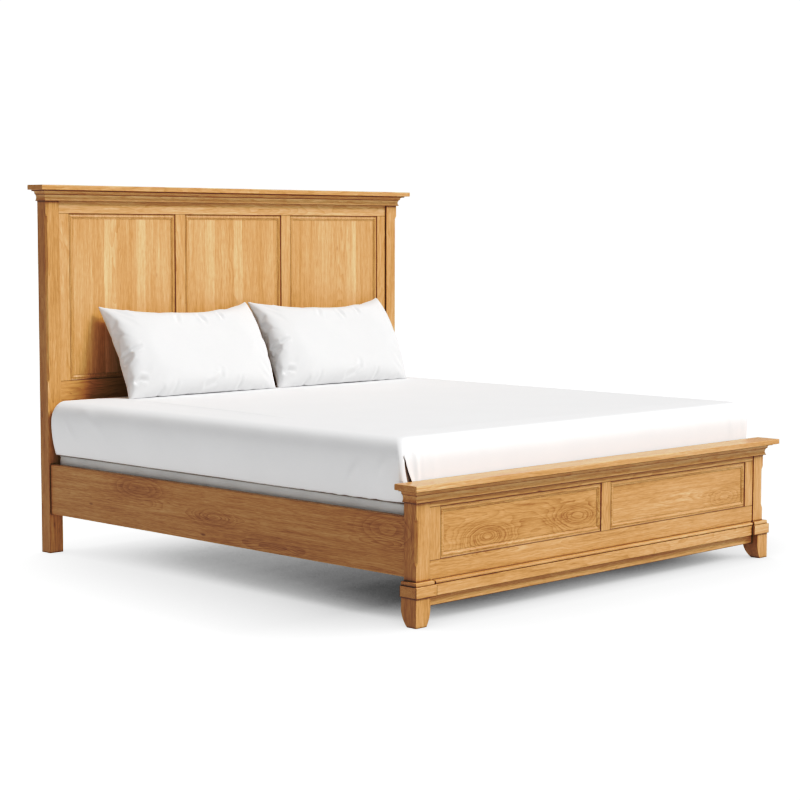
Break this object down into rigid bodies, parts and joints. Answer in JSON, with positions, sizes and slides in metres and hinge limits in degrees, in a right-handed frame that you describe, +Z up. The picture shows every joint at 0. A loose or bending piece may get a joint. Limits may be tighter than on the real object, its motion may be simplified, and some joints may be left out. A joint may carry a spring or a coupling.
{
  "type": "panel bed",
  "caption": "King panel bed with moulded headboard and low footboard, side rails, slats, centre support, foundation, sheeted mattress and two leaning pillows.",
  "frame": {"origin": "on the floor under the middle of the bed's overall length and width", "axes": "+Z up, +Y from the foot of the bed to the head, +X to the right for someone who looks from the foot to the head"},
  "size_m": [2.142, 2.243, 1.53],
  "materials": {
    "maple": "clear satin lacquer over a light golden brown stain",
    "plain_wood": "sanded, unstained",
    "zinc_steel": "zinc plated sheet",
    "screw_steel": "zinc plated",
    "insert_brass": "plain",
    "black_plastic": "moulded",
    "foundation_fabric": "woven grey cover",
    "mattress_fabric": "knitted ticking",
    "sheet_cotton": "smooth white cotton",
    "pillow_cotton": "smooth white cotton case"
  },
  "bodies": {
    "bed_frame": {"beam_hangers": "zinc_steel", "centre_beam": "plain_wood", "centre_legs": "plain_wood", "footboard_apron": "maple", "footboard_base_moulding": "maple", "footboard_bottom_rail": "maple", "footboard_cap": "maple", "footboard_centre_stile": "maple", "footboard_cove_moulding": "maple", "footboard_frieze": "maple", "footboard_left_end_stile": "maple", "footboard_left_foot": "maple", "footboard_left_panel": "maple", "footboard_left_panel_moulding": "maple", "footboard_left_plinth_block": "maple", "footboard_left_post": "maple", "footboard_right_end_stile": "maple", "footboard_right_foot": "maple", "footboard_right_panel": "maple", "footboard_right_panel_moulding": "maple", "footboard_right_plinth_block": "maple", "footboard_right_post": "maple", "footboard_top_rail": "maple", "headboard_bottom_rail": "maple", "headboard_cap": "maple", "headboard_centre_panel": "maple", "headboard_centre_panel_moulding": "maple", "headboard_cove_moulding": "maple", "headboard_frieze": "maple", "headboard_left_end_stile": "maple", "headboard_left_panel": "maple", "headboard_left_panel_moulding": "maple", "headboard_left_post": "maple", "headboard_left_stile": "maple", "headboard_right_end_stile": "maple", "headboard_right_panel": "maple", "headboard_right_panel_moulding": "maple", "headboard_right_post": "maple", "headboard_right_stile": "maple", "headboard_stretcher": "plain_wood", "headboard_top_rail": "maple", "left_side_rail": "maple", "left_slat_cleat": "plain_wood", "post_slotted_plates": "zinc_steel", "rail_hook_plates": "zinc_steel", "rail_plate_screws": "screw_steel", "right_side_rail": "maple", "right_slat_cleat": "plain_wood", "slats": "plain_wood", "threaded_inserts": "insert_brass"},
    "left_pillow": {"left_pillow": "pillow_cotton"},
    "right_pillow": {"right_pillow": "pillow_cotton"},
    "mattress": {"mattress": "mattress_fabric", "bed_sheet": "sheet_cotton"},
    "foundation": {"left_foundation": "foundation_fabric", "right_foundation": "foundation_fabric"},
    "front_stem": {"front_leveller_stem": "screw_steel"},
    "front_pad": {"front_leveller_pad": "black_plastic"},
    "rear_stem": {"rear_leveller_stem": "screw_steel"},
    "rear_pad": {"rear_leveller_pad": "black_plastic"}
  },
  "joints": [
    {"name": "foundation_lift", "type": "slide", "parent": "bed_frame", "child": "foundation", "axis": [0, 0, 1], "range_m": [0, 0.3]},
    {"name": "mattress_lift", "type": "slide", "parent": "foundation", "child": "mattress", "axis": [0, 0, 1], "range_m": [0, 0.3]},
    {"name": "left_pillow_lift", "type": "slide", "parent": "mattress", "child": "left_pillow", "axis": [0, 0, 1], "range_m": [0, 0.3]},
    {"name": "right_pillow_lift", "type": "slide", "parent": "mattress", "child": "right_pillow", "axis": [0, 0, 1], "range_m": [0, 0.3]},
    {"name": "front_leveller_travel", "type": "slide", "parent": "bed_frame", "child": "front_pad", "axis": [0, 0, -1], "range_m": [0, 0.01]},
    {"name": "front_leveller_turn", "type": "hinge", "parent": "front_pad", "child": "front_stem", "pos_m": [0, -0.3265, 0.04], "axis": [0, 0, -1], "range_deg": [0, 2880]},
    {"name": "rear_leveller_travel", "type": "slide", "parent": "bed_frame", "child": "rear_pad", "axis": [0, 0, -1], "range_m": [0, 0.01]},
    {"name": "rear_leveller_turn", "type": "hinge", "parent": "rear_pad", "child": "rear_stem", "pos_m": [0, 0.3735, 0.04], "axis": [0, 0, -1], "range_deg": [0, 2880]}
  ],
  "couplings": [
    {"joint": "front_leveller_turn", "follows": "front_leveller_travel", "rad_per_m": 5026.5},
    {"joint": "rear_leveller_turn", "follows": "rear_leveller_travel", "rad_per_m": 5026.5}
  ]
}
